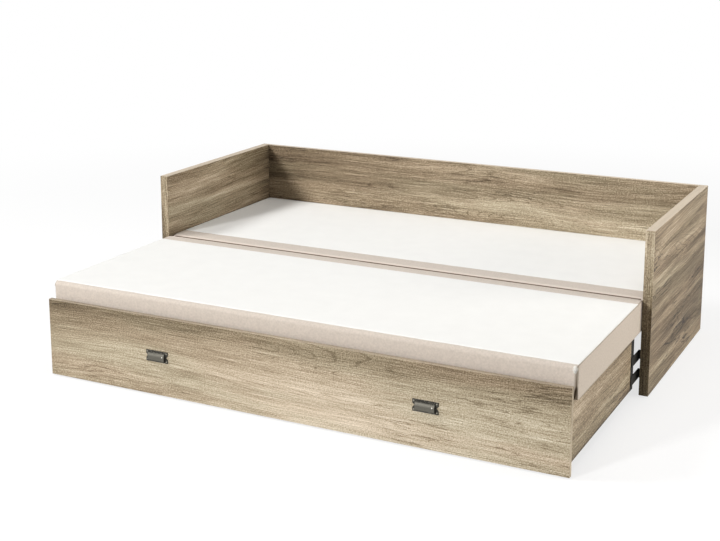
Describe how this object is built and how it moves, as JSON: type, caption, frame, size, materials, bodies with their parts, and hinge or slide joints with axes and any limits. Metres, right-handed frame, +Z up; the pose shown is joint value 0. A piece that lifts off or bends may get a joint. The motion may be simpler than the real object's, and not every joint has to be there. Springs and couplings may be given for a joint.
{
  "type": "extendable daybed",
  "caption": "Wood-grain daybed with high sides and back; its front pulls out on castors and carries the folding front half of the mattress.",
  "frame": {"origin": "on the floor, under the centre of the extended bed's bounding box", "axes": "+X along the bed's length to the right as seen from the front, +Y from the drawer front to the back panel, +Z up"},
  "size_m": [2.082, 1.637, 0.61],
  "materials": {
    "decor_board": "weathered oak print, satin",
    "plain_board": "bare plywood",
    "black_steel": "black powder coat",
    "pewter": "antique pewter plating",
    "black_plastic": "matt",
    "grey_nylon": "matt",
    "bearing_steel": "ground steel",
    "mattress_cover": "white knitted top with beige woven border"
  },
  "bodies": {
    "frame": {"side_panel_left": "decor_board", "side_panel_right": "decor_board", "back_panel": "decor_board", "centre_partition": "plain_board", "rear_ledger": "plain_board", "front_beam": "black_steel", "beam_bracket_left": "black_steel", "beam_bracket_right": "black_steel", "guide_rail_left": "black_steel", "guide_rail_right": "black_steel", "glide_front_left": "black_plastic", "glide_rear_left": "black_plastic", "glide_front_right": "black_plastic", "glide_rear_right": "black_plastic", "partition_glide_front": "black_plastic", "partition_glide_rear": "black_plastic", "rear_base_board_1": "plain_board", "rear_base_board_2": "plain_board", "rear_base_board_3": "plain_board", "rear_base_board_4": "plain_board", "rear_mattress": "mattress_cover"},
    "drawer": {"drawer_front": "decor_board", "drawer_side_left": "decor_board", "drawer_side_right": "decor_board", "drawer_inner_left": "plain_board", "drawer_inner_right": "plain_board", "drawer_back_left": "plain_board", "drawer_back_right": "plain_board", "drawer_bearer_left": "plain_board", "drawer_bearer_right": "plain_board", "front_ledger_left": "plain_board", "front_ledger_right": "plain_board", "drawer_base_board_1": "plain_board", "drawer_base_board_2": "plain_board", "drawer_base_board_3": "plain_board", "drawer_base_board_4": "plain_board", "carriage_bracket_left": "black_steel", "carriage_bracket_right": "black_steel", "handle_left": "pewter", "handle_right": "pewter", "castor_bracket_front_left": "black_steel", "castor_bracket_front_right": "black_steel", "castor_bracket_rear_left": "black_steel", "castor_bracket_rear_right": "black_steel"},
    "front_mattress": {"front_mattress": "mattress_cover"},
    "castor_wheel_front_left": {"castor_wheel_front_left": "grey_nylon"},
    "castor_wheel_front_right": {"castor_wheel_front_right": "grey_nylon"},
    "castor_wheel_rear_left": {"castor_wheel_rear_left": "grey_nylon"},
    "castor_wheel_rear_right": {"castor_wheel_rear_right": "grey_nylon"},
    "guide_roller_lower_left": {"guide_roller_lower_left": "bearing_steel"},
    "guide_roller_lower_right": {"guide_roller_lower_right": "bearing_steel"},
    "guide_roller_upper_left": {"guide_roller_upper_left": "bearing_steel"},
    "guide_roller_upper_right": {"guide_roller_upper_right": "bearing_steel"}
  },
  "joints": [
    {"name": "drawer_slide", "type": "slide", "parent": "frame", "child": "drawer", "axis": [0, 1, 0], "range_m": [0, 0.775]},
    {"name": "mattress_fold", "type": "hinge", "parent": "frame", "child": "front_mattress", "pos_m": [0, 0.00005, 0.356], "axis": [-1, 0, 0], "range_deg": [0, 180]},
    {"name": "castor_spin_front_left", "type": "hinge", "parent": "drawer", "child": "castor_wheel_front_left", "pos_m": [-0.5159, -0.70855, 0.02], "axis": [-1, 0, 0], "range_deg": [0, 2220.3]},
    {"name": "castor_spin_front_right", "type": "hinge", "parent": "drawer", "child": "castor_wheel_front_right", "pos_m": [0.5159, -0.70855, 0.02], "axis": [-1, 0, 0], "range_deg": [0, 2220.3]},
    {"name": "castor_spin_rear_left", "type": "hinge", "parent": "drawer", "child": "castor_wheel_rear_left", "pos_m": [-0.5159, -0.18245, 0.02], "axis": [-1, 0, 0], "range_deg": [0, 2220.3]},
    {"name": "castor_spin_rear_right", "type": "hinge", "parent": "drawer", "child": "castor_wheel_rear_right", "pos_m": [0.5159, -0.18245, 0.02], "axis": [-1, 0, 0], "range_deg": [0, 2220.3]},
    {"name": "roller_spin_lower_left", "type": "hinge", "parent": "drawer", "child": "guide_roller_lower_left", "pos_m": [-1.0022, 0.01185, 0.076], "axis": [-1, 0, 0], "range_deg": [0, 4036.8]},
    {"name": "roller_spin_lower_right", "type": "hinge", "parent": "drawer", "child": "guide_roller_lower_right", "pos_m": [1.0022, 0.01185, 0.076], "axis": [-1, 0, 0], "range_deg": [0, 4036.8]},
    {"name": "roller_spin_upper_left", "type": "hinge", "parent": "drawer", "child": "guide_roller_upper_left", "pos_m": [-1.0022, 0.01185, 0.146], "axis": [-1, 0, 0], "range_deg": [0, 4036.8]},
    {"name": "roller_spin_upper_right", "type": "hinge", "parent": "drawer", "child": "guide_roller_upper_right", "pos_m": [1.0022, 0.01185, 0.146], "axis": [-1, 0, 0], "range_deg": [0, 4036.8]}
  ],
  "couplings": [
    {"joint": "mattress_fold", "follows": "drawer_slide", "rad_per_m": 4.0536},
    {"joint": "castor_spin_front_left", "follows": "drawer_slide", "rad_per_m": 50},
    {"joint": "castor_spin_front_right", "follows": "drawer_slide", "rad_per_m": 50},
    {"joint": "castor_spin_rear_left", "follows": "drawer_slide", "rad_per_m": 50},
    {"joint": "castor_spin_rear_right", "follows": "drawer_slide", "rad_per_m": 50},
    {"joint": "roller_spin_lower_left", "follows": "drawer_slide", "rad_per_m": 90.909},
    {"joint": "roller_spin_lower_right", "follows": "drawer_slide", "rad_per_m": 90.909},
    {"joint": "roller_spin_upper_left", "follows": "drawer_slide", "rad_per_m": 90.909},
    {"joint": "roller_spin_upper_right", "follows": "drawer_slide", "rad_per_m": 90.909}
  ]
}
